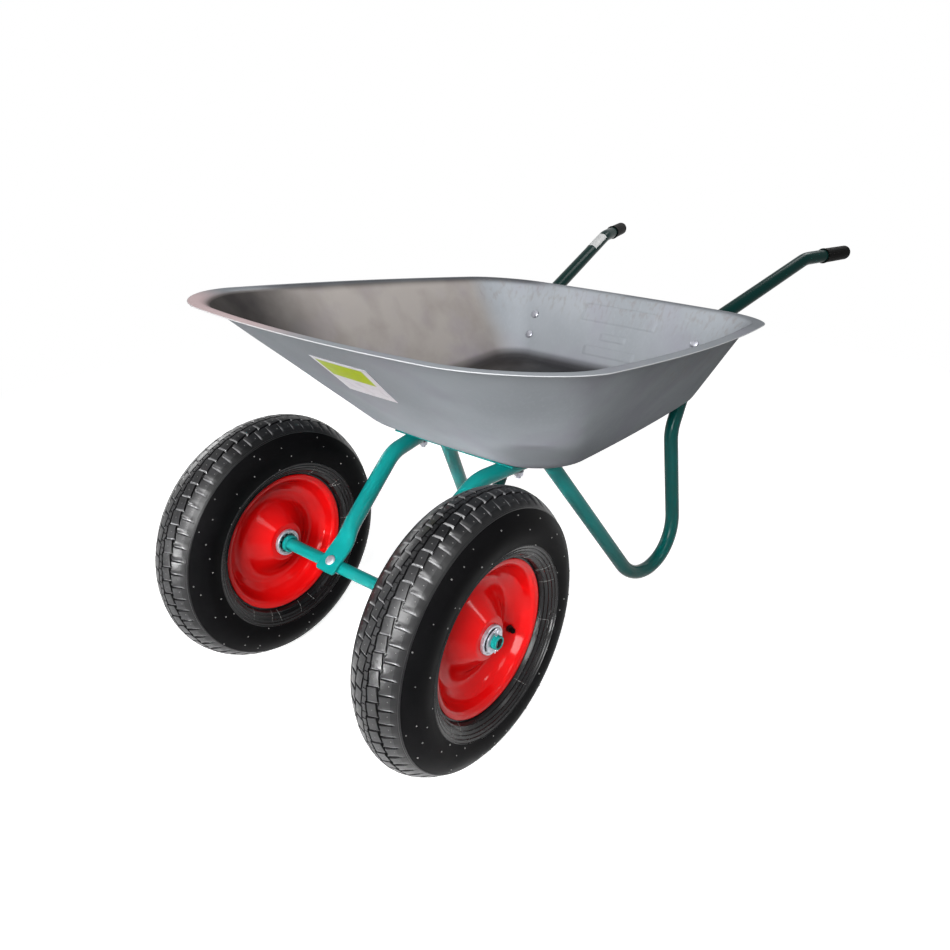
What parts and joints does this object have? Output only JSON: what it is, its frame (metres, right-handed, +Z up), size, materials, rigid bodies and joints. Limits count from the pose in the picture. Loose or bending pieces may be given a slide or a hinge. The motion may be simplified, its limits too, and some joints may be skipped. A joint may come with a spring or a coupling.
{
  "type": "wheelbarrow",
  "caption": "Wheelbarrow with a pressed sheet tray on bent tubes that form legs and handles, carried on a pair of pneumatic wheels on one axle.",
  "frame": {"origin": "middle of the object's length and width, on the ground", "axes": "+X forward to the wheels, +Y to the left, +Z up"},
  "size_m": [1.4808, 0.7056, 0.5978],
  "materials": {
    "galvanised_sheet": "satin",
    "green_paint": "gloss",
    "red_paint": "gloss",
    "tyre_rubber": "satin",
    "tube_rubber": "matte",
    "black_grip": "satin",
    "zinc_steel": "satin",
    "bearing_steel": "polished"
  },
  "bodies": {
    "frame": {"tray": "galvanised_sheet", "cross_strip": "green_paint", "left_frame_tube": "green_paint", "right_frame_tube": "green_paint", "left_grip": "black_grip", "right_grip": "black_grip", "axle": "green_paint", "axle_bolts": "zinc_steel", "axle_washers": "zinc_steel", "axle_nuts": "zinc_steel", "floor_bolts": "zinc_steel", "floor_washers": "zinc_steel", "floor_nuts": "zinc_steel", "back_bolts": "zinc_steel", "back_washers": "zinc_steel", "back_nuts": "zinc_steel", "left_bearing_inner_rings": "bearing_steel", "left_inner_collar": "zinc_steel", "left_outer_washer": "zinc_steel", "left_split_pin": "zinc_steel", "right_bearing_inner_rings": "bearing_steel", "right_inner_collar": "zinc_steel", "right_outer_washer": "zinc_steel", "right_split_pin": "zinc_steel"},
    "left_wheel": {"left_tyre": "tyre_rubber", "left_inner_tube": "tube_rubber", "left_outer_half_rim": "red_paint", "left_inner_half_rim": "red_paint", "left_hub_sleeve": "zinc_steel", "left_bearing_outer_rings": "bearing_steel", "left_bearing_balls": "bearing_steel", "left_valve_stem": "tube_rubber", "left_valve_cap": "black_grip"},
    "right_wheel": {"right_tyre": "tyre_rubber", "right_inner_tube": "tube_rubber", "right_outer_half_rim": "red_paint", "right_inner_half_rim": "red_paint", "right_hub_sleeve": "zinc_steel", "right_bearing_outer_rings": "bearing_steel", "right_bearing_balls": "bearing_steel", "right_valve_stem": "tube_rubber", "right_valve_cap": "black_grip"}
  },
  "joints": [
    {"name": "left_wheel_spin", "type": "hinge", "parent": "frame", "child": "left_wheel", "pos_m": [0.5374, 0.2055, 0.203], "axis": [0, 1, 0], "continuous": true},
    {"name": "right_wheel_spin", "type": "hinge", "parent": "frame", "child": "right_wheel", "pos_m": [0.5374, -0.2055, 0.203], "axis": [0, 1, 0], "continuous": true}
  ]
}
